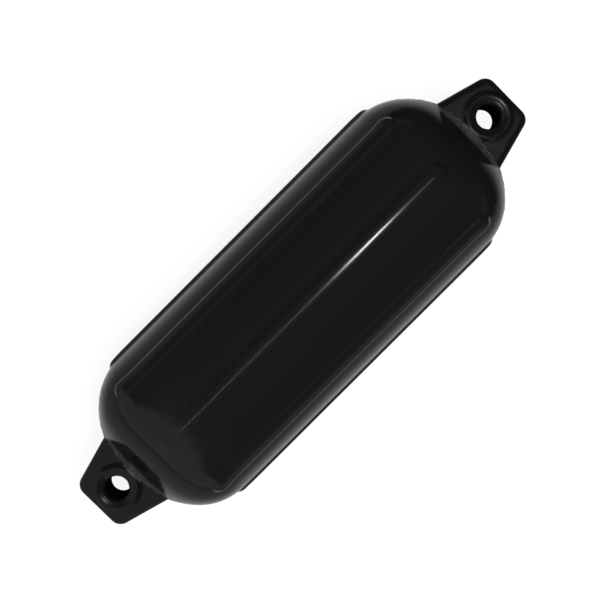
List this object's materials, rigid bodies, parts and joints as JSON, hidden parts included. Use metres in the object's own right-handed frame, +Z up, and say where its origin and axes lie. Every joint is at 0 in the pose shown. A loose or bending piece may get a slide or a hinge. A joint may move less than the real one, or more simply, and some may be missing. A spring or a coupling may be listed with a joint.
{
  "type": "pneumatic boat fender",
  "caption": "Ribbed inflatable boat fender with a flattened nose and a thick rope eye at each end, lying on one rib, with a needle valve underneath.",
  "frame": {"origin": "on the ground under the middle of the fender, which lies on the flat of its lowest rib", "axes": "+X along the fender towards the end with the valve, +Z up, the two rope eyes' holes run along Z"},
  "size_m": [0.686, 0.224, 0.2234],
  "materials": {
    "black_vinyl": "glossy soft vinyl, faint moulding texture",
    "black_rubber": "dull black rubber"
  },
  "bodies": {
    "root": {"fender_body": "black_vinyl", "needle_valve": "black_rubber"}
  },
  "joints": []
}
